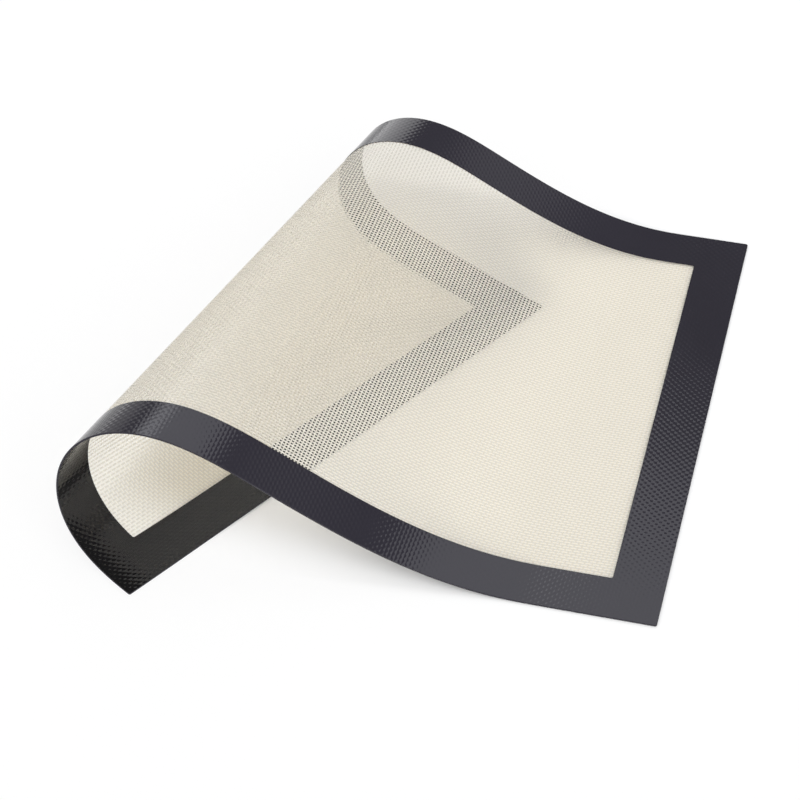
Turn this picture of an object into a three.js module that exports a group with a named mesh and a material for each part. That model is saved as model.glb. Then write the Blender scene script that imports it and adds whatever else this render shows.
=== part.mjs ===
// Silicone baking mat, curled over on itself: a woven glass cloth between two silicone coats,
// with a black silicone border on each face and a bead that seals the cut edge.
// Millimetres, +Z up. The flat run and the turned-over flap both rest on the plane z = 0.
import * as THREE from "three";

// The mat laid flat: the flap edge on x = 0, the near long edge on y = 0
const MAT_LENGTH = 400;
const MAT_WIDTH = 300;
const CORNER_RADIUS = 2;
const BORDER_WIDTH = 26;
const BORDER_CORNER_RADIUS = 1.5;
const SEAL_WIDTH = 0.6;

// Layers of the laminate, and the film of bond between two of them
const CLOTH_THICKNESS = 0.34;
const COAT_THICKNESS = 0.18;
const BORDER_THICKNESS = 0.1;
const BOND_GAP = 0.02;

// The curl is a cone: every straight line of the bent mat points at one far centre,
// given from the flap edge and from the middle of the width
const FAN_OFFSET = 450;
const FAN_REACH = 1234;

// Bends along the middle of the width, measured from the flap edge towards the flat run
const FLAP_FLAT = 24;
const CURL_CLOSE = 75;
const CURL_OPEN = 120;
const LIFT_END = 182;
const LIFT_FADE = 136;
const LIFT_ONSET = 24;

// Facets along each bend and each half of a rounded corner, and the steps that trace a facet
const CURL_FACETS = 60;
const LIFT_FACETS = 16;
const CORNER_FACETS = 2;
const TRACE_STEPS = 24;

const panelInset = SEAL_WIDTH + BOND_GAP;
const coatLevel = CLOTH_THICKNESS / 2 + BOND_GAP;
const borderLevel = coatLevel + COAT_THICKNESS + BOND_GAP;
const faceLevel = borderLevel + BORDER_THICKNESS;
const sealLevel = borderLevel - BOND_GAP;

const fanCentre = new THREE.Vector2(FAN_OFFSET, MAT_WIDTH / 2 + FAN_REACH);
const flapAngle = Math.atan2(FAN_OFFSET, FAN_REACH);

// Angle at the fan centre of a point of the flat mat, growing from the flat run to the flap
function fanAngle(point) {
  return Math.atan2(fanCentre.x - point.x, fanCentre.y - point.y);
}

// The fan angle at a distance from the flap edge along the middle of the width
function angleFromFlap(distance) {
  return flapAngle - distance / FAN_REACH;
}

// Rounded rectangle inside the outer edge of the flat mat, its corners never quite sharp
function outline(inset, cornerRadius) {
  const sharpest = 0.1;
  const radius = Math.max(cornerRadius, sharpest);
  const left = inset + radius;
  const right = MAT_LENGTH - inset - radius;
  const near = inset + radius;
  const far = MAT_WIDTH - inset - radius;
  const shape = new THREE.Shape();
  shape.absarc(right, near, radius, -Math.PI / 2, 0);
  shape.absarc(right, far, radius, 0, Math.PI / 2);
  shape.absarc(left, far, radius, Math.PI / 2, Math.PI);
  shape.absarc(left, near, radius, Math.PI, Math.PI * 1.5);
  shape.closePath();
  return shape.getPoints(CORNER_FACETS);
}

const outerEdge = outline(0, CORNER_RADIUS);
const sealInnerEdge = outline(SEAL_WIDTH, CORNER_RADIUS - SEAL_WIDTH);
const panelEdge = outline(panelInset, CORNER_RADIUS - panelInset);
const borderInnerEdge = outline(BORDER_WIDTH, BORDER_CORNER_RADIUS);

// Stations: the fan lines on which the facets meet, at every corner point and along both bends
function stationAngles() {
  const angles = [outerEdge, sealInnerEdge, panelEdge, borderInnerEdge].flat().map(fanAngle);
  for (let i = 0; i <= CURL_FACETS; i += 1) {
    angles.push(angleFromFlap(FLAP_FLAT + (CURL_CLOSE + CURL_OPEN) * (i / CURL_FACETS)));
  }
  for (let i = 0; i <= LIFT_FACETS; i += 1) {
    angles.push(angleFromFlap(LIFT_END + (LIFT_FADE + LIFT_ONSET) * (i / LIFT_FACETS)));
  }
  angles.sort((a, b) => a - b);
  const least = 1e-7;
  return angles.filter((angle, i) => i === 0 || angle - angles[i - 1] > least);
}

const stations = stationAngles();

// Share of a bend per millimetre: a smooth hump over its two lengths, of unit area
function hump(distance, before, after) {
  const reach = distance < 0 ? before : after;
  const place = Math.min(Math.abs(distance) / reach, 1);
  return (1 + Math.cos(Math.PI * place)) / (before + after);
}

// Carries a fan line and the mat's upward normal over all stations, bent up by lift and back by curl
function traceFrames(lift, curl) {
  const start = stations[0];
  const line = new THREE.Vector3(-Math.sin(start), -Math.cos(start), 0);
  const normal = new THREE.Vector3(0, 0, 1);
  const frames = [{ line: line.clone(), normal: normal.clone() }];
  const axis = new THREE.Vector3();
  const turn = new THREE.Quaternion();
  for (let i = 1; i < stations.length; i += 1) {
    const step = (stations[i] - stations[i - 1]) / TRACE_STEPS;
    for (let j = 0; j < TRACE_STEPS; j += 1) {
      const angle = stations[i - 1] + step * (j + 0.5);
      const fromFlap = (flapAngle - angle) * FAN_REACH;
      const up = lift * hump(fromFlap - LIFT_END - LIFT_FADE, LIFT_FADE, LIFT_ONSET);
      const back = curl * hump(fromFlap - FLAP_FLAT - CURL_CLOSE, CURL_CLOSE, CURL_OPEN);
      const bend = (up - back) * step * FAN_REACH;
      axis.copy(normal).multiplyScalar(-step).addScaledVector(line, -bend);
      const amount = axis.length();
      turn.setFromAxisAngle(axis.divideScalar(amount), amount);
      line.applyQuaternion(turn).normalize();
      normal.applyQuaternion(turn).normalize();
    }
    frames.push({ line: line.clone(), normal: normal.clone() });
  }
  return frames;
}

// Finds the lift and the curl that lay the flap upside down, flat on the plane of the flat run
function settleFlap() {
  const nudge = 1e-5;
  const flatEnough = 1e-11;
  const mostRounds = 30;
  let lift = THREE.MathUtils.degToRad(31);
  let curl = Math.PI + lift;
  const endTilt = (up, back) => traceFrames(up, back).at(-1).normal;
  for (let round = 0; round < mostRounds; round += 1) {
    const here = endTilt(lift, curl);
    if (Math.hypot(here.x, here.y) < flatEnough) {
      break;
    }
    const byLift = endTilt(lift + nudge, curl).sub(here).divideScalar(nudge);
    const byCurl = endTilt(lift, curl + nudge).sub(here).divideScalar(nudge);
    const scale = byLift.x * byCurl.y - byLift.y * byCurl.x;
    lift -= (here.x * byCurl.y - here.y * byCurl.x) / scale;
    curl -= (byLift.x * here.y - byLift.y * here.x) / scale;
  }
  return traceFrames(lift, curl);
}

const frames = settleFlap();

// Where a fan line crosses an outline, as distances from the fan centre: the far and the near one
function crossings(edge, angle) {
  const direction = new THREE.Vector2(-Math.sin(angle), -Math.cos(angle));
  const found = [];
  edge.forEach((point, i) => {
    const next = edge[(i + 1) % edge.length];
    const from = fanAngle(point);
    const to = fanAngle(next);
    if (from === to || angle < Math.min(from, to) || angle > Math.max(from, to)) {
      return;
    }
    const side = next.clone().sub(point);
    const reach = point.clone().sub(fanCentre);
    found.push(reach.cross(side) / direction.cross(side));
  });
  return found.length > 0 ? [Math.min(...found), Math.max(...found)] : [];
}

// Flat faces between neighbouring stations, for the inside of an edge less the inside of a hole
function stripFaces(edge, hole) {
  const outer = stations.map((angle) => crossings(edge, angle));
  const inner = stations.map((angle) => (hole ? crossings(hole, angle) : []));
  const faces = [];
  const addFace = (i, right, left) => {
    const rightSide = right.map((reach) => [i, reach]);
    const leftSide = left.map((reach) => [i + 1, reach]);
    faces.push(
      right.length <= left.length
        ? [...rightSide.slice(0, 1), ...leftSide, ...rightSide.slice(1).reverse()]
        : [...leftSide.slice(-1), ...rightSide.reverse(), ...leftSide.slice(0, -1)],
    );
  };
  for (let i = 0; i + 1 < stations.length; i += 1) {
    const [farRight, nearRight] = outer[i];
    const [farLeft, nearLeft] = outer[i + 1];
    if (farRight === undefined || farLeft === undefined) {
      continue;
    }
    const [holeFarRight, holeNearRight] = inner[i];
    const [holeFarLeft, holeNearLeft] = inner[i + 1];
    if (holeFarRight !== undefined && holeFarLeft !== undefined) {
      addFace(i, [farRight, holeFarRight], [farLeft, holeFarLeft]);
      addFace(i, [holeNearRight, nearRight], [holeNearLeft, nearLeft]);
    } else {
      addFace(i, [farRight, ...inner[i], nearRight], [farLeft, ...inner[i + 1], nearLeft]);
    }
  }
  return faces;
}

// A closed layer of the bent mat between two levels, measured from its middle surface
function layerGeometry(faces, low, high) {
  const corners = new Map();
  const positions = [];
  const lidCorner = ([station, reach]) => {
    const key = `${station} ${reach.toFixed(5)}`;
    if (!corners.has(key)) {
      corners.set(key, corners.size);
      const { line, normal } = frames[station];
      const foot = new THREE.Vector3(fanCentre.x, fanCentre.y, faceLevel).addScaledVector(line, reach);
      positions.push(...foot.clone().addScaledVector(normal, high));
      positions.push(...foot.clone().addScaledVector(normal, low));
    }
    return corners.get(key);
  };
  const lid = [];
  for (const face of faces) {
    const loop = face.map(lidCorner).filter((corner, i, all) => corner !== all[(i + 1) % all.length]);
    for (let i = 1; i + 1 < loop.length; i += 1) {
      lid.push([loop[0], loop[i], loop[i + 1]]);
    }
  }
  const top = (corner) => corner * 2;
  const bottom = (corner) => corner * 2 + 1;
  const index = [];
  const rims = new Map();
  for (const [a, b, c] of lid) {
    index.push(top(a), top(b), top(c), bottom(c), bottom(b), bottom(a));
    for (const [from, to] of [[a, b], [b, c], [c, a]]) {
      rims.set(`${from} ${to}`, [from, to]);
    }
  }
  for (const [from, to] of rims.values()) {
    if (!rims.has(`${to} ${from}`)) {
      index.push(top(to), top(from), bottom(from), top(to), bottom(from), bottom(to));
    }
  }
  const geometry = new THREE.BufferGeometry();
  geometry.setAttribute("position", new THREE.Float32BufferAttribute(positions, 3));
  geometry.setIndex(index);
  geometry.computeVertexNormals();
  return geometry;
}

const clothLook = { color: 0xe9e4d6, roughness: 0.8, metalness: 0 };
const coatLook = { color: 0xe4ded1, roughness: 0.45, metalness: 0 };
const blackLook = { color: 0x35343a, roughness: 0.35, metalness: 0 };

const panelFaces = stripFaces(panelEdge, null);
const borderFaces = stripFaces(outerEdge, borderInnerEdge);
const sealFaces = stripFaces(outerEdge, sealInnerEdge);

const mat = new THREE.Group();
mat.name = "baking_mat";

function addLayer(name, faces, low, high, look) {
  const layer = new THREE.Mesh(layerGeometry(faces, low, high), new THREE.MeshStandardMaterial(look));
  layer.name = name;
  mat.add(layer);
}

addLayer("glass_cloth", panelFaces, -CLOTH_THICKNESS / 2, CLOTH_THICKNESS / 2, clothLook);
addLayer("upper_coat", panelFaces, coatLevel, coatLevel + COAT_THICKNESS, coatLook);
addLayer("lower_coat", panelFaces, -coatLevel - COAT_THICKNESS, -coatLevel, coatLook);
addLayer("upper_border", borderFaces, borderLevel, faceLevel, blackLook);
addLayer("lower_border", borderFaces, -faceLevel, -borderLevel, blackLook);
addLayer("edge_seal", sealFaces, -sealLevel, sealLevel, blackLook);

// The origin goes under the middle of the curled mat, on the plane it rests on
const bounds = new THREE.Box3().setFromObject(mat, true);
const middle = bounds.getCenter(new THREE.Vector3());
mat.position.set(-middle.x, -middle.y, -bounds.min.z);

export default mat;
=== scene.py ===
import math

import bpy
import numpy as np
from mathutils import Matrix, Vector


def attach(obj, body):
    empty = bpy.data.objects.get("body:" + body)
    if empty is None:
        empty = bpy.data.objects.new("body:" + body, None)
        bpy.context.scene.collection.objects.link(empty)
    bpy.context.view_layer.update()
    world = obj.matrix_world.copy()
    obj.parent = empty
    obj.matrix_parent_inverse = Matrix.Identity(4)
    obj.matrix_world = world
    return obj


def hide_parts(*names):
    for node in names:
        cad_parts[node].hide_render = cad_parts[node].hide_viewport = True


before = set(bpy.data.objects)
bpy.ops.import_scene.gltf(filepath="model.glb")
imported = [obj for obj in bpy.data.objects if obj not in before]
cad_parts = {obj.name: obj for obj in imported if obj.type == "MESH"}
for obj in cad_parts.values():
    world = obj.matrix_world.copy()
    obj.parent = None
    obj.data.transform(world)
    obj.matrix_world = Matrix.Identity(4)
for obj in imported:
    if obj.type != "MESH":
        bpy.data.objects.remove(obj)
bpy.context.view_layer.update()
bpy.ops.object.select_all(action="DESELECT")
scene = bpy.context.scene
scene.view_settings.view_transform = "Standard"
scene.cycles.max_bounces = 20  # light goes to and fro between the layers
scene.cycles.diffuse_bounces = 10
scene.cycles.transparent_max_bounces = 24
scene.cycles.denoising_prefilter = "NONE"  # keeps the fine mesh
print("frame loaded:", ", ".join(sorted(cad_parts)))

mm = 0.001  # the mat is drawn flat in millimetres, then rolled into metres

# The curl: every straight line of the bent mat points at one far centre
matShape = {
    "length": 400.0,  # flap edge on x = 0, free edge on x = 400
    "width": 300.0,  # near edge on y = 0
    "fanX": 450.0,
    "fanY": 1384.0,
    "fanReach": 1234.0,
    "lift": math.radians(31.27396854),  # how far the run rises, all told
    "liftPeak": 318.0,  # from the flap edge, along the middle
    "liftBefore": 136.0,
    "liftAfter": 24.0,
    "curl": math.radians(211.0528479),  # how far it then turns back over
    "curlPeak": 99.0,
    "curlBefore": 75.0,
    "curlAfter": 120.0,
    "originX": 252.446,  # the frame's origin on the flat mat
    "originY": 130.326,
    "restLevel": 0.49,  # middle of the cloth over the table
    "spare": 3.0,  # traced this far past both ends
    "steps": 5000,
}


def hump(distance, before, after):
    reach = before if distance < 0 else after
    place = min(abs(distance) / reach, 1.0)
    return (1 + math.cos(math.pi * place)) / (before + after)


def traceCurl(s):
    first = math.atan2(s["fanX"] - s["length"] - s["spare"], s["fanY"])
    last = math.atan2(s["fanX"] + s["spare"], s["fanY"] - s["width"])
    flapAngle = math.atan2(s["fanX"], s["fanReach"])
    angles = np.linspace(first, last, s["steps"] + 1)
    step = angles[1] - angles[0]
    line = Vector((-math.sin(first), -math.cos(first), 0))
    normal = Vector((0, 0, 1))
    lines, normals = [line.copy()], [normal.copy()]
    for angle in angles[:-1] + step / 2:
        fromFlap = (flapAngle - angle) * s["fanReach"]
        up = s["lift"] * hump(fromFlap - s["liftPeak"], s["liftBefore"], s["liftAfter"])
        back = s["curl"] * hump(fromFlap - s["curlPeak"], s["curlBefore"], s["curlAfter"])
        axis = normal * -step - line * ((up - back) * step * s["fanReach"])
        turn = axis.normalized()
        sine, cosine = math.sin(axis.length), math.cos(axis.length)
        line, normal = [
            (v * cosine + turn.cross(v) * sine + turn * (turn.dot(v) * (1 - cosine))).normalized()
            for v in (line, normal)
        ]
        lines.append(line)
        normals.append(normal)
    return angles, np.array(lines), np.array(normals)


fanAngles, fanLines, fanNormals = traceCurl(matShape)
print("curl traced, flap normal", [round(float(c), 4) for c in fanNormals[-1]])


def roll(x, y, level):
    # flat place and height over the middle of the cloth, to the frame
    s = matShape
    x, y, level = np.broadcast_arrays(np.asarray(x, float), y, level)
    angle = np.arctan2(s["fanX"] - x, s["fanY"] - y)
    reach = np.hypot(s["fanX"] - x, s["fanY"] - y)
    base = np.array([s["fanX"] - s["originX"], s["fanY"] - s["originY"], s["restLevel"]])
    axes = [np.interp(angle, fanAngles, fanLines[:, k]) for k in range(3)]
    ups = [np.interp(angle, fanAngles, fanNormals[:, k]) for k in range(3)]
    return np.stack([base[k] + reach * axes[k] + level * ups[k] for k in range(3)], -1) * mm


# Mesh helpers
def cornerPoints(mesh):
    # the point under each face corner
    points = np.empty(len(mesh.loops), np.int32)
    mesh.loops.foreach_get("vertex_index", points)
    return points


def addMap(mesh, name, pairs):
    # one UV pair for each face corner
    layer = mesh.uv_layers.new(name=name)
    layer.data.foreach_set("uv", np.asarray(pairs, np.float32).ravel())


def selectOnly(piece):
    bpy.ops.object.select_all(action="DESELECT")
    bpy.context.view_layer.objects.active = piece
    piece.select_set(True)


def newPiece(name, points, faces, maps, material, node):
    # maps: name -> one UV pair for each point
    mesh = bpy.data.meshes.new(name)
    mesh.from_pydata(points, [], faces)
    mesh.update()
    corners = cornerPoints(mesh)
    for mapName, pairs in maps.items():
        addMap(mesh, mapName, pairs[corners])
    mesh.materials.append(material)
    piece = bpy.data.objects.new(name, mesh)
    scene.collection.objects.link(piece)
    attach(piece, "root")
    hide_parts(node)
    return piece


# Node helpers
def addNode(tree, kind, **values):
    node = tree.nodes.new("ShaderNode" + kind)
    for key, value in values.items():
        if key[2:].isdigit():  # in0, in1: a socket by its number
            node.inputs[int(key[2:])].default_value = value
        else:
            setattr(node, key, value)
    return node


def feed(tree, node, values):
    # a number or colour is set on its socket, an output is linked to it
    for i, value in enumerate(values):
        if isinstance(value, (int, float, tuple)):
            node.inputs[i].default_value = value
        elif value is not None:
            tree.links.new(value, node.inputs[i])
    return node.outputs[0]


def calc(tree, operation, a, b=None, c=None):
    return feed(tree, addNode(tree, "Math", operation=operation), (a, b, c))


def softStep(tree, value, fromMin, fromMax, toMin, toMax):
    node = addNode(tree, "MapRange", interpolation_type="SMOOTHSTEP")
    return feed(tree, node, (value, fromMin, fromMax, toMin, toMax))


def mixColours(tree, share, first, second):
    return feed(tree, addNode(tree, "MixRGB"), (share, first, second))


def mixSurfaces(tree, out, share, first, second):
    mix = addNode(tree, "MixShader")
    surface = feed(tree, mix, (share, first.outputs[0], second.outputs[0]))
    tree.links.new(surface, out.inputs["Surface"])


def addBump(tree, height, depth):
    bump = addNode(tree, "Bump")
    bump.inputs["Strength"].default_value = 1.0
    bump.inputs["Distance"].default_value = depth
    tree.links.new(height, bump.inputs["Height"])
    return bump.outputs[0]


def newMaterial(name):
    material = bpy.data.materials.new(name)
    material.use_nodes = True
    material.node_tree.nodes.clear()
    out = addNode(material.node_tree, "OutputMaterial")
    return material, material.node_tree, out


def newGroup(name, inputs, outputs):
    tree = bpy.data.node_groups.new(name, "ShaderNodeTree")
    for socketName, kind, value in inputs:
        socket = tree.interface.new_socket(socketName, in_out="INPUT", socket_type=kind)
        if value is not None:
            socket.default_value = value
    for socketName, kind in outputs:
        tree.interface.new_socket(socketName, in_out="OUTPUT", socket_type=kind)
    return tree, tree.nodes.new("NodeGroupInput"), tree.nodes.new("NodeGroupOutput")


def useGroup(tree, group, **values):
    node = tree.nodes.new("ShaderNodeGroup")
    node.node_tree = group
    for key, value in values.items():
        node.inputs[key].default_value = value
    return node


# The plain weave, for the threads and for the mark that it leaves on the silicone
weave = {
    "lengthPitch": 1.88,  # between threads that run across the mat
    "widthPitch": 1.76,  # between threads that run along it
    "crossLean": 0.032,  # the cloth was laid up a little askew
    "lengthLean": 0.0124,
    "threadShare": 0.46,  # thread width over pitch
    "crimp": 0.15,  # a thread's rise and fall either side of the middle
    "room": 1.4,  # from the threads to the cut edge
    "flatten": 0.5,  # broadens the crowns of the mark
    "crossRidge": 0.4,  # share of the ridges over the cross threads
}


def buildWeaveGroup(s):
    tree, start, end = newGroup(
        "wovenEmboss",
        [("Sheet", "NodeSocketVector", None), ("Sharpness", "NodeSocketFloat", 2.0),
         ("Swing", "NodeSocketFloat", 0.5), ("Warp", "NodeSocketFloat", 0.5)],
        [("Height", "NodeSocketFloat")],
    )
    sharpness, swing, warp = (start.outputs[key] for key in ("Sharpness", "Swing", "Warp"))
    midX, midY = matShape["length"] / 2, matShape["width"] / 2
    split = addNode(tree, "SeparateXYZ")
    tree.links.new(start.outputs["Sheet"], split.inputs[0])
    x, y = split.outputs[0], split.outputs[1]  # millimetres over the flat mat
    leanX = calc(tree, "MULTIPLY_ADD", y, -s["crossLean"], midY * s["crossLean"] - midX)
    leanY = calc(tree, "MULTIPLY_ADD", x, -s["lengthLean"], midX * s["lengthLean"] - midY)
    phaseX = calc(tree, "MULTIPLY", calc(tree, "ADD", x, leanX), math.pi / s["lengthPitch"])
    phaseY = calc(tree, "MULTIPLY", calc(tree, "ADD", y, leanY), math.pi / s["widthPitch"])
    sinX, sinY = calc(tree, "SINE", phaseX), calc(tree, "SINE", phaseY)
    crownX = calc(tree, "POWER", calc(tree, "ABSOLUTE", sinX), sharpness)
    crownY = calc(tree, "POWER", calc(tree, "ABSOLUTE", sinY), sharpness)
    square = calc(tree, "MULTIPLY", sinX, sinX)
    broad = calc(tree, "MULTIPLY_ADD", square, -s["flatten"], 1 + s["flatten"])
    cells = calc(tree, "MULTIPLY", calc(tree, "MULTIPLY", sinX, broad), sinY)  # like bricks
    crossRidges = calc(tree, "MULTIPLY", crownX, s["crossRidge"])
    ridges = calc(tree, "MULTIPLY_ADD", crownY, warp, crossRidges)
    height = calc(tree, "MULTIPLY_ADD", cells, swing, ridges)
    tree.links.new(height, end.inputs["Height"])
    return tree


weaveGroup = buildWeaveGroup(weave)


def addEmboss(tree, s):
    # the weave's mark, over the flat mat's millimetres from the piece's own map
    unit = matShape["length"]
    place = addNode(tree, "UVMap", uv_map="sheetMap")
    grow = addNode(tree, "VectorMath", operation="MULTIPLY", in1=(unit, unit, 0.0))
    tree.links.new(place.outputs[0], grow.inputs[0])
    group = useGroup(tree, weaveGroup, Sharpness=s["sharpness"], Swing=s["swing"], Warp=s["warp"])
    tree.links.new(grow.outputs[0], group.inputs["Sheet"])
    return addBump(tree, group.outputs["Height"], s["emboss"])


# Slow clouds of handling and oven film on silicone
smudgeLook = {
    "detail": 4,
    "roughness": 0.55,
    "cloudLow": 0.3,  # the noise between these fills the range
    "cloudHigh": 0.7,
}


def buildSmudgeGroup(s):
    tree, start, end = newGroup(
        "siliconeSmudge",
        [("Scale", "NodeSocketFloat", 18.0), ("Low", "NodeSocketFloat", 0.2),
         ("High", "NodeSocketFloat", 0.3)],
        [("Value", "NodeSocketFloat"), ("Cloud", "NodeSocketFloat")],
    )
    place = addNode(tree, "TexCoord")
    noise = addNode(tree, "TexNoise", noise_dimensions="3D")
    noise.inputs["Detail"].default_value = s["detail"]
    noise.inputs["Roughness"].default_value = s["roughness"]
    tree.links.new(place.outputs["Object"], noise.inputs["Vector"])
    tree.links.new(start.outputs["Scale"], noise.inputs["Scale"])
    spread = addNode(tree, "MapRange")
    tree.links.new(noise.outputs[0], spread.inputs["Value"])
    spread.inputs["From Min"].default_value = s["cloudLow"]
    spread.inputs["From Max"].default_value = s["cloudHigh"]
    tree.links.new(start.outputs["Low"], spread.inputs["To Min"])
    tree.links.new(start.outputs["High"], spread.inputs["To Max"])
    tree.links.new(spread.outputs[0], end.inputs["Value"])
    tree.links.new(noise.outputs[0], end.inputs["Cloud"])
    return tree


smudgeGroup = buildSmudgeGroup(smudgeLook)
print("weave and smudge groups built")

# Threads of glass soaked in pale silicone
threadLook = {
    "weftPale": (0.728, 0.724, 0.714, 1),  # across the mat; darker than the warp as painted shade between the warp's ribs
    "weftWarm": (0.708, 0.7, 0.678, 1),
    "warpPale": (0.974, 0.969, 0.956, 1),  # along it, lighter than the weft
    "warpWarm": (0.953, 0.941, 0.914, 1),
    "side": (0.79, 0.76, 0.70, 1),  # painted shade on the thin edges of a thread
    "weftThrough": (0.864, 0.824, 0.74, 1),
    "warpThrough": (0.985, 0.945, 0.856, 1),
    "letThrough": 0.57,
    "roughness": 0.55,
    "index": 1.41,
    "roundness": 0.0001,
    "mapShare": 0.8,  # a thread's part of its strip on the map
    "fibreRun": 0.5,  # fibre marks for each millimetre along
    "fibresAcross": 9.0,
    "fibreDetail": 2,
    "fibreHeight": 0.25,
    "fibreTint": 0.6,  # what the fibres and the clouds add to the warm colour
    "cloudTint": 0.4,
    "cloudScale": 26.0,
}


def buildThreadMaterial(name, count, length, kind, s):
    material, tree, out = newMaterial(name)
    place = addNode(tree, "UVMap", uv_map="threadMap")
    split = addNode(tree, "SeparateXYZ")
    tree.links.new(place.outputs[0], split.inputs[0])
    strand = calc(tree, "MULTIPLY", split.outputs[1], float(count))
    inStrip = calc(tree, "FRACT", strand)
    across = calc(tree, "MULTIPLY_ADD", inStrip, 2 / s["mapShare"], -1 / s["mapShare"])  # -1 to 1
    crown = calc(tree, "SUBTRACT", 1.0, calc(tree, "MULTIPLY", across, across))
    along = calc(tree, "MULTIPLY", split.outputs[0], length * s["fibreRun"])
    aside = calc(tree, "MULTIPLY", strand, s["fibresAcross"])
    stretch = feed(tree, addNode(tree, "CombineXYZ"), (along, aside))
    fibres = addNode(tree, "TexNoise", noise_dimensions="2D")
    fibres.inputs["Scale"].default_value = 1.0
    fibres.inputs["Detail"].default_value = s["fibreDetail"]
    tree.links.new(stretch, fibres.inputs["Vector"])
    cloud = useGroup(tree, smudgeGroup, Scale=s["cloudScale"], Low=0.0, High=1.0)
    clouds = calc(tree, "MULTIPLY", cloud.outputs["Value"], s["cloudTint"])
    tint = calc(tree, "MULTIPLY_ADD", fibres.outputs[0], s["fibreTint"], clouds)
    # the weft's darker colours are painted shade between the warp ribs
    colour = mixColours(tree, tint, s[kind + "Pale"], s[kind + "Warm"])
    # painted shade: the colour darkens towards each thread's edges, away from its crown
    colour = mixColours(tree, calc(tree, "SUBTRACT", 1.0, crown), colour, s["side"])
    height = calc(tree, "MULTIPLY_ADD", fibres.outputs[0], s["fibreHeight"], crown)
    face = addNode(tree, "BsdfPrincipled")
    face.inputs["Roughness"].default_value = s["roughness"]
    face.inputs["IOR"].default_value = s["index"]
    tree.links.new(colour, face.inputs["Base Color"])
    tree.links.new(addBump(tree, height, s["roundness"]), face.inputs["Normal"])
    through = addNode(tree, "BsdfTranslucent", in0=s[kind + "Through"])
    mixSurfaces(tree, out, s["letThrough"], face, through)
    return material


def buildThreads(name, across):
    # across: threads over the width, otherwise along the length
    s, w = matShape, weave
    midX, midY = s["length"] / 2, s["width"] / 2
    lengthRoom = s["length"] - 2 * w["room"] - s["width"] * w["crossLean"]
    widthRoom = s["width"] - 2 * w["room"] - s["length"] * w["lengthLean"]
    columns, rows = int(lengthRoom / w["lengthPitch"]), int(widthRoom / w["widthPitch"])
    count, crossed = (columns, rows) if across else (rows, columns)
    strand = np.arange(count)[:, None]
    knot = np.arange(0, crossed - 0.25, 0.5)[None, :]  # each crossing and half way between
    column, row = (strand, knot) if across else (knot, strand)
    column, row = np.broadcast_arrays(column.astype(float), row.astype(float))
    atX = midX + (column - (columns - 1) / 2) * w["lengthPitch"]
    atY = midY + (row - (rows - 1) / 2) * w["widthPitch"]
    lean = w["crossLean"] * w["lengthLean"]
    x = (atX + w["crossLean"] * (atY - w["lengthLean"] * midX - midY)) / (1 - lean)
    y = atY + w["lengthLean"] * (x - midX)
    level = w["crimp"] * np.cos(math.pi * (column + row)) * (1 if across else -1)
    half = w["threadShare"] / 2 * (w["lengthPitch"] if across else w["widthPitch"])
    sides = np.array([-half, half])
    px = x[..., None] + (sides if across else 0)
    py = y[..., None] + (0 if across else -sides)
    px, py, pl = np.broadcast_arrays(px, py, level[..., None])
    points = roll(px, py, pl).reshape(-1, 3)
    knots = knot.shape[1]
    first = (np.arange(count)[:, None] * knots + np.arange(knots - 1)[None, :]).ravel() * 2
    faces = np.stack([first, first + 1, first + 3, first + 2], 1)
    span, kind = (s["width"], "weft") if across else (s["length"], "warp")
    alongShare = (y if across else x)[..., None] / span
    inStrip = 0.5 + threadLook["mapShare"] / 2 * np.sign(sides)
    acrossShare = (strand[..., None] + inStrip) / count
    pairs = np.stack(np.broadcast_arrays(alongShare, acrossShare), -1).reshape(-1, 2)
    material = buildThreadMaterial(name + "_glass", count, span, kind, threadLook)
    maps = {"threadMap": pairs, "OFBake": pairs}
    piece = newPiece(name, points, faces, maps, material, "glass_cloth")
    piece.data.polygons.foreach_set("use_smooth", [True] * len(faces))
    print(name, count, "threads,", 2 * len(faces), "triangles")
    return piece


weftThreads = buildThreads("weft_threads", True)
warpThreads = buildThreads("warp_threads", False)

# The clear silicone over both faces of the cloth
skinLook = {
    "inset": 0.62,  # from the cut edge
    "level": 0.37,  # over the middle of the cloth
    "step": 2.5,
    "headOn": 0.03,  # reflection looking straight at it
    "grazing": 0.25,
    "rimPower": 5.0,
    "smooth": 0.18,
    "rough": 0.25,
    "smudgeScale": 22.0,
    "emboss": 0.00004,
    "sharpness": 2.0,
    "swing": 0.4,
    "warp": 0.4,
    "upperTint": (0.996, 0.992, 0.98, 1),
    "lowerTint": (0.993, 0.987, 0.969, 1),  # a little warmer
}


def buildSkinMaterial(name, tint, s):
    material, tree, out = newMaterial(name)
    smudge = useGroup(tree, smudgeGroup, Scale=s["smudgeScale"], Low=s["smooth"], High=s["rough"])
    facing = addNode(tree, "LayerWeight")
    facing.inputs["Blend"].default_value = 0.5
    rim = calc(tree, "POWER", facing.outputs["Facing"], s["rimPower"])
    share = calc(tree, "MULTIPLY_ADD", rim, s["grazing"] - s["headOn"], s["headOn"])
    shine = addNode(tree, "BsdfAnisotropic")
    tree.links.new(smudge.outputs["Value"], shine.inputs["Roughness"])
    tree.links.new(addEmboss(tree, s), shine.inputs["Normal"])
    clear = addNode(tree, "BsdfTransparent", in0=tint)
    mixSurfaces(tree, out, share, clear, shine)
    return material


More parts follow.
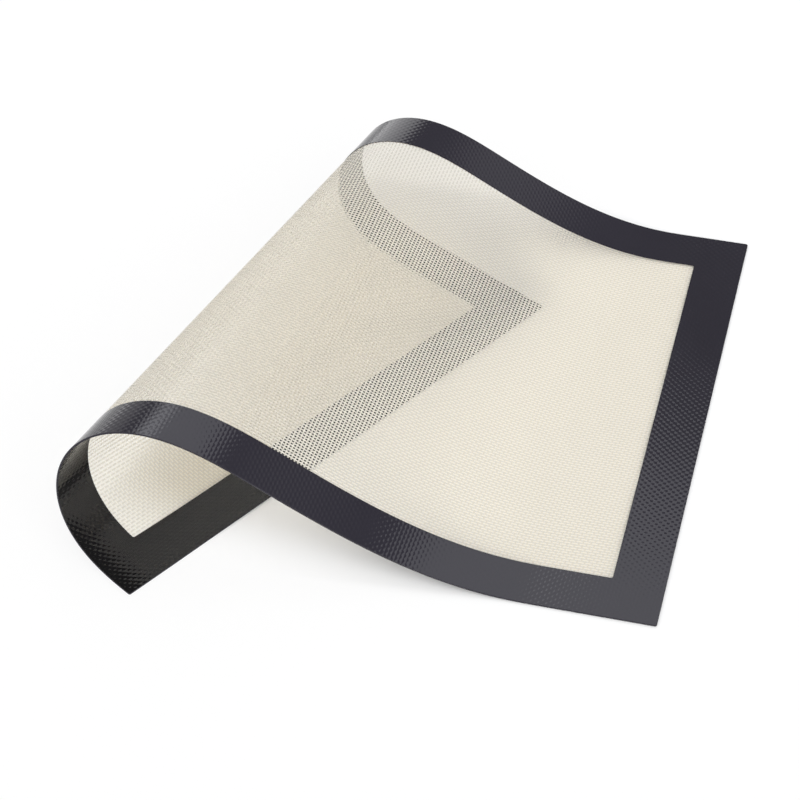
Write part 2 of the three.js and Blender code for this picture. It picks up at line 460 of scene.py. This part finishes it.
def buildSkin(name, side, node, tint):
    s, look = matShape, skinLook
    columns = int(s["length"] / look["step"]) + 1
    rows = int(s["width"] / look["step"]) + 1
    xs = np.linspace(look["inset"], s["length"] - look["inset"], columns)
    ys = np.linspace(look["inset"], s["width"] - look["inset"], rows)
    x, y = np.meshgrid(xs, ys)
    points = roll(x, y, look["level"] * side).reshape(-1, 3)
    first = (np.arange(rows - 1)[:, None] * columns + np.arange(columns - 1)[None, :]).ravel()
    order = [first, first + 1, first + columns + 1, first + columns]
    faces = np.stack(order if side > 0 else order[::-1], 1)
    pairs = np.stack([x, y], -1).reshape(-1, 2) / s["length"]
    material = buildSkinMaterial(name + "_clear", tint, look)
    maps = {"sheetMap": pairs, "OFBake": pairs}
    piece = newPiece(name, points, faces, maps, material, node)
    piece.data.polygons.foreach_set("use_smooth", [True] * len(faces))
    print(name, 2 * len(faces), "triangles")
    return piece


upperSkin = buildSkin("upper_skin", 1, "upper_coat", skinLook["upperTint"])
lowerSkin = buildSkin("lower_skin", -1, "lower_coat", skinLook["lowerTint"])

# The black silicone frames printed on both faces
frameLook = {
    "width": 26.0,
    "innerRadius": 1.0,
    "outerRadius": 0.9,
    "cell": 2.0,
    "near": 0.01,  # grid lines closer than this are one
    "low": 0.375,  # over the middle of the cloth
    "high": 0.49,
    "cornerSteps": 5,
    "shortBy": 1.0,  # the lower frame's far band is narrower by this
    "dark": (0.0153, 0.0137, 0.0205, 1),
    "grey": (0.0192, 0.0173, 0.0255, 1),
    "index": 1.4,
    "underDark": (0.0075, 0.0072, 0.0078, 1),
    "underGrey": (0.0098, 0.0094, 0.0098, 1),
    "underIndex": 1.36,
    "smooth": 0.05,
    "rough": 0.09,
    "smudgeScale": 20.0,
    "emboss": 0.000058,
    "sharpness": 2.0,
    "swing": 0.32,
    "warp": 0.0,
    "smoothAngle": 35.0,
    "asideScale": 0.22,  # the bonded face and the rims, put aside on the map
    "asideFrom": (0.02, 0.78),
}


def buildBlackMaterial(name, s, dark, grey, index, grain=None):
    # grain: a look with a fine grain in place of the weave's mark
    material, tree, out = newMaterial(name)
    smudge = useGroup(tree, smudgeGroup, Scale=s["smudgeScale"], Low=s["smooth"], High=s["rough"])
    if grain:
        noise = addNode(tree, "TexNoise")
        noise.inputs["Scale"].default_value = grain["grainScale"]
        place = addNode(tree, "TexCoord")
        tree.links.new(place.outputs["Object"], noise.inputs["Vector"])
        normal = addBump(tree, noise.outputs[0], grain["grainDepth"])
    else:
        normal = addEmboss(tree, s)
    face = addNode(tree, "BsdfPrincipled")
    face.inputs["IOR"].default_value = s[index]
    colour = mixColours(tree, smudge.outputs["Cloud"], s[dark], s[grey])
    tree.links.new(colour, face.inputs["Base Color"])
    tree.links.new(smudge.outputs["Value"], face.inputs["Roughness"])
    tree.links.new(normal, face.inputs["Normal"])
    tree.links.new(face.outputs[0], out.inputs["Surface"])
    return material


upperBlack = buildBlackMaterial("black_upper", frameLook, "dark", "grey", "index")
lowerBlack = buildBlackMaterial("black_lower", frameLook, "underDark", "underGrey", "underIndex")


def frameLines(size, s):
    # grid lines over one side of the frame, with one at each end of every rounded corner
    band = np.linspace(s["outerRadius"], s["width"], round(s["width"] / s["cell"]))
    band = np.concatenate([[0.0], band])
    first, last = s["width"] + s["innerRadius"], size - s["width"] - s["innerRadius"]
    middle = np.linspace(first, last, int((last - first) / s["cell"]) + 1)
    return np.concatenate([band, middle, size - band[::-1]]).tolist()


def layFrame(look):
    # the flat frame: its points and faces
    s, near = matShape, look["near"]
    xs, ys = frameLines(s["length"], look), frameLines(s["width"], look)
    quarters = {(1, 1): 2, (-1, 1): 3, (-1, -1): 0, (1, -1): 1}  # where a corner's round starts
    places, found, faces = [], {}, []

    def at(x, y):
        key = (round(x, 4), round(y, 4))
        if key not in found:
            found[key] = len(places)
            places.append(key)
        return found[key]

    def arc(centreX, centreY, radius, quarter):
        start = quarter * math.pi / 2
        turns = np.linspace(start, start + math.pi / 2, look["cornerSteps"] + 1)
        return [at(centreX + radius * math.cos(t), centreY + radius * math.sin(t)) for t in turns]

    lowX, highX = look["width"], s["length"] - look["width"]
    lowY, highY = look["width"], s["width"] - look["width"]
    for i in range(len(xs) - 1):
        for j in range(len(ys) - 1):
            x0, x1, y0, y1 = xs[i], xs[i + 1], ys[j], ys[j + 1]
            endX = (i == 0) - (i == len(xs) - 2)
            endY = (j == 0) - (j == len(ys) - 2)
            holeX = (abs(x0 - lowX) < near) - (abs(x1 - highX) < near)
            holeY = (abs(y0 - lowY) < near) - (abs(y1 - highY) < near)
            inX = lowX - near < x0 and x1 < highX + near
            inY = lowY - near < y0 and y1 < highY + near
            if endX and endY:  # an outer corner, cut round
                centreX, centreY = (x1 if endX > 0 else x0), (y1 if endY > 0 else y0)
                middle = at(centreX, centreY)
                turn = arc(centreX, centreY, look["outerRadius"], quarters[endX, endY])
                faces.append([middle] + turn)
            elif inX and inY and holeX and holeY:  # the fillet in a corner of the window
                centreX, centreY = (x1 if holeX > 0 else x0), (y1 if holeY > 0 else y0)
                cornerX, cornerY = (x0 if holeX > 0 else x1), (y0 if holeY > 0 else y1)
                turn = arc(centreX, centreY, look["innerRadius"], quarters[holeX, holeY])
                faces += [[at(cornerX, cornerY), b, a] for a, b in zip(turn, turn[1:])]
            elif not (inX and inY):
                faces.append([at(x0, y0), at(x1, y0), at(x1, y1), at(x0, y1)])
    return np.array(places), faces


def buildFrame(name, side, node):
    s, look = matShape, frameLook
    flat, faces = layFrame(look)
    if side < 0:
        middle = s["width"] / 2
        inward = (flat[:, 1] - middle) / (s["width"] - look["width"] - middle)
        outward = (s["width"] - flat[:, 1]) / look["width"]
        flat[:, 1] += look["shortBy"] * np.clip(np.minimum(inward, outward), 0, 1)
    mesh = bpy.data.meshes.new(name)
    mesh.from_pydata([(x * mm, y * mm, look["high"] * mm) for x, y in flat], [], faces)
    piece = bpy.data.objects.new(name, mesh)
    scene.collection.objects.link(piece)
    selectOnly(piece)
    wall = piece.modifiers.new("wall", "SOLIDIFY")
    wall.thickness = (look["high"] - look["low"]) * mm
    wall.offset = -1
    bpy.ops.object.modifier_apply(modifier="wall")
    mesh = piece.data
    spots = np.empty(len(mesh.vertices) * 3, np.float32)
    mesh.vertices.foreach_get("co", spots)
    spots = spots.reshape(-1, 3).astype(float) / mm
    counts = [p.loop_total for p in mesh.polygons]
    up = np.repeat([p.normal.z > 0.5 for p in mesh.polygons], counts)
    pairs = spots[cornerPoints(mesh), :2] / s["length"]
    hidden = pairs * look["asideScale"] + np.array(look["asideFrom"])
    addMap(mesh, "sheetMap", pairs)
    addMap(mesh, "OFBake", np.where(up[:, None], pairs, hidden))
    rolled = roll(spots[:, 0], spots[:, 1], spots[:, 2] * side)
    mesh.vertices.foreach_set("co", rolled.astype(np.float32).ravel())
    if side < 0:
        mesh.flip_normals()
    mesh.update()
    bpy.ops.object.shade_smooth_by_angle(angle=math.radians(look["smoothAngle"]))
    mesh.materials.append(upperBlack if side > 0 else lowerBlack)
    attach(piece, "root")
    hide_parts(node)
    print(name, sum(len(p.vertices) - 2 for p in mesh.polygons), "triangles")
    return piece


upperFrame = buildFrame("upper_frame", 1, "upper_border")
lowerFrame = buildFrame("lower_frame", -1, "lower_border")

# The bead that closes the cut edge all round
beadLook = {
    "radius": 0.9,
    "step": 2.0,
    "cornerSteps": 6,
    "section": [  # out past the cut edge, and level over the middle of the cloth
        (-0.6, 0.37), (-0.05, 0.38), (0.06, 0.3), (0.11, 0.12),
        (0.11, -0.12), (0.06, -0.3), (-0.05, -0.38), (-0.6, -0.37),
    ],
    "smoothAngle": 60.0,
    "grainScale": 900.0,
    "grainDepth": 0.00003,
}


def buildBead(name, node, material):
    s, look = matShape, beadLook
    radius = look["radius"]
    lowX, highX = radius, s["length"] - radius
    lowY, highY = radius, s["width"] - radius
    ends = [(highX, lowY, -1), (highX, highY, 0), (lowX, highY, 1), (lowX, lowY, 2)]
    path = []
    for k, (cx, cy, quarter) in enumerate(ends):
        turns = np.linspace(quarter, quarter + 1, look["cornerSteps"] + 1) * math.pi / 2
        path += [(cx, cy, t) for t in turns]
        nextX, nextY, _ = ends[(k + 1) % len(ends)]
        runX, runY = nextX - cx, nextY - cy
        steps = int(math.hypot(runX, runY) / look["step"])
        path += [
            (cx + runX * i / steps, cy + runY * i / steps, turns[-1])
            for i in range(1, steps)
        ]
    cx, cy, turn = (np.array(c)[:, None] for c in zip(*path))
    out, level = (np.array(c)[None, :] for c in zip(*look["section"]))
    x = cx + (radius + out) * np.cos(turn)
    y = cy + (radius + out) * np.sin(turn)
    x, y, level = np.broadcast_arrays(x, y, level)
    points = roll(x, y, level).reshape(-1, 3)
    rings, sides = x.shape
    ring, side = np.meshgrid(np.arange(rings), np.arange(sides), indexing="ij")
    nextRing, nextSide = (ring + 1) % rings, (side + 1) % sides
    quad = [(nextRing, side), (nextRing, nextSide), (ring, nextSide), (ring, side)]
    faces = np.stack([r * sides + c for r, c in quad], -1).reshape(-1, 4)
    maps = {"edgeMap": np.stack([ring / rings, side / sides], -1).reshape(-1, 2)}
    piece = newPiece(name, points, faces, maps, material, node)
    selectOnly(piece)
    bpy.ops.object.mode_set(mode="EDIT")
    bpy.ops.mesh.select_all(action="SELECT")
    bpy.ops.mesh.normals_make_consistent(inside=False)
    bpy.ops.object.mode_set(mode="OBJECT")
    bpy.ops.object.shade_smooth_by_angle(angle=math.radians(look["smoothAngle"]))
    print(name, 2 * len(faces), "triangles")
    return piece


beadBlack = buildBlackMaterial("black_bead", frameLook, "dark", "grey", "index", beadLook)
edgeBead = buildBead("edge_bead", "edge_seal", beadBlack)

# Table, studio and camera
stageLook = {
    "floorDrop": 0.0003,
    "floorSize": 8.0,
    "floor": (0.82, 0.82, 0.82, 1),
    "lifted": 0.85,  # share of plain white that the camera sees on the open table
    "shadeSides": [  # the shaded table under the mat: outward directions, reaches and fades
        ((-0.986, 0.165, 0.0), 0.108, 0.014),
        ((-0.2, -0.98, 0.0), 0.106, 0.042),
        ((0.0, -1.0, 0.0), 0.126, 0.014),
        ((1.0, 0.0, 0.0), 0.15, 0.014),
        ((0.0, 1.0, 0.0), 0.175, 0.014),
    ],
    "backdrop": 1.0,
    "gap": 0.36,  # the dark gap over the backdrop, up to the softbox
    "gapHeight": (24.2, 34.4),  # in degrees
    "gapTilt": 0.13,  # higher on the right
    "front": 1.9,  # a broad soft light in front
    "frontAim": (0.15, -0.9, 0.4),
    "frontSpread": (0.3, 0.8),
    "frontShine": 0.2,  # it hardly shows in the gloss
    "side": 0.76,  # a softer one to the right
    "sideAim": (0.9, -0.3, 0.3),
    "sideSpread": (0.45, 0.8),
    "glow": 1.9,  # a lit band on the backdrop
    "glowSide": (-0.794, -0.448, 0.411),  # square to the band
    "glowSpread": (0.08, 0.16),
    "glowHeight": (31.0, 35.5),
    "lampColour": (0.952, 0.968, 1.0),
    "softbox": {
        "radiance": 1.53,
        "middle": (-0.047, 1.286, 2.0),
        "size": (2.06, 1.62),
        "turn": -10.0,
    },
    "strip": {
        "radiance": 1.45,
        "middle": (-0.8, 2.15, 1.98),
        "size": (0.9, 0.7),
        "turn": -14.0,
    },
}


def leanTo(tree, place, aim):
    # how far a place or direction lies along the aim
    along = addNode(tree, "VectorMath", operation="DOT_PRODUCT", in1=aim)
    tree.links.new(place, along.inputs[0])
    return along.outputs["Value"]


def buildFloor(s):
    bpy.ops.object.select_all(action="DESELECT")
    bpy.ops.mesh.primitive_plane_add(size=s["floorSize"], location=(0, 0, -s["floorDrop"]))
    floor = bpy.context.object
    floor.name = "table"
    material, tree, out = newMaterial("table_white")
    flat = addNode(tree, "BsdfDiffuse", in0=s["floor"])
    white = addNode(tree, "Emission")
    path = addNode(tree, "LightPath")
    seen = calc(tree, "MAXIMUM", path.outputs["Is Camera Ray"], path.outputs["Is Glossy Ray"])
    seen = calc(tree, "MAXIMUM", seen, path.outputs["Is Transmission Ray"])
    place = addNode(tree, "TexCoord")
    away = None
    for outward, reach, fade in s["shadeSides"]:
        along = leanTo(tree, place.outputs["Object"], outward)
        beyond = calc(tree, "MULTIPLY_ADD", along, 1 / fade, -reach / fade)
        away = calc(tree, "MAXIMUM", away, beyond) if away else beyond
    pale = softStep(tree, away, 0.0, 1.0, 0.0, s["lifted"])
    mixSurfaces(tree, out, calc(tree, "MULTIPLY", seen, pale), flat, white)
    floor.data.materials.append(material)


def buildStudio(s):
    world = bpy.data.worlds.new("studio")
    scene.world = world
    world.use_nodes = True
    tree = world.node_tree
    tree.nodes.clear()
    out = addNode(tree, "OutputWorld")
    back = addNode(tree, "Background")
    toward = addNode(tree, "TexCoord").outputs["Generated"]
    split = addNode(tree, "SeparateXYZ")
    tree.links.new(toward, split.inputs[0])
    height = split.outputs[2]

    def lobe(aim, spread, strength):
        return softStep(tree, leanTo(tree, toward, aim), *spread, 0.0, strength)

    def rise(level, heights, low, high):
        start, end = (math.sin(math.radians(h)) for h in heights)
        return softStep(tree, level, start, end, low, high)

    slant = calc(tree, "MULTIPLY_ADD", split.outputs[0], -s["gapTilt"], height)
    sky = rise(slant, s["gapHeight"], s["backdrop"], s["gap"])
    beside = calc(tree, "ABSOLUTE", leanTo(tree, toward, s["glowSide"]))
    band = softStep(tree, beside, *s["glowSpread"], s["glow"], 0.0)
    glow = rise(height, s["glowHeight"], band, 0.0)
    path = addNode(tree, "LightPath")
    fade = calc(tree, "MULTIPLY_ADD", path.outputs["Is Glossy Ray"], s["frontShine"] - 1.0, 1.0)
    front = calc(tree, "MULTIPLY", lobe(s["frontAim"], s["frontSpread"], s["front"]), fade)
    side = lobe(s["sideAim"], s["sideSpread"], s["side"])
    for part in (glow, front, side):
        sky = calc(tree, "ADD", sky, part)
    tree.links.new(sky, back.inputs["Strength"])
    tree.links.new(back.outputs[0], out.inputs["Surface"])
    for name in ("softbox", "strip"):
        lamp = bpy.data.lights.new(name, "AREA")
        lamp.shape = "RECTANGLE"
        lamp.color = s["lampColour"]
        lamp.size, lamp.size_y = s[name]["size"]
        lamp.energy = s[name]["radiance"] * math.pi * lamp.size * lamp.size_y
        box = bpy.data.objects.new(name, lamp)
        box.location = s[name]["middle"]
        box.rotation_euler = (0, 0, math.radians(s[name]["turn"]))
        scene.collection.objects.link(box)


view = {
    "eye": (0.23875, -1.01335, 0.92793),
    "target": (-0.001616, -0.034631, 0.03),
    "angle": 16.992,
    "clipStart": 0.01,
}


def buildCamera(s):
    camera = bpy.data.objects.new("camera", bpy.data.cameras.new("camera"))
    camera.data.angle = math.radians(s["angle"])
    camera.location = s["eye"]
    look = Vector(s["target"]) - Vector(s["eye"])
    camera.rotation_euler = look.to_track_quat("-Z", "Y").to_euler()
    camera.data.clip_start = s["clipStart"]
    scene.collection.objects.link(camera)
    scene.camera = camera


buildFloor(stageLook)
buildStudio(stageLook)
buildCamera(view)
print("table, studio and camera set")
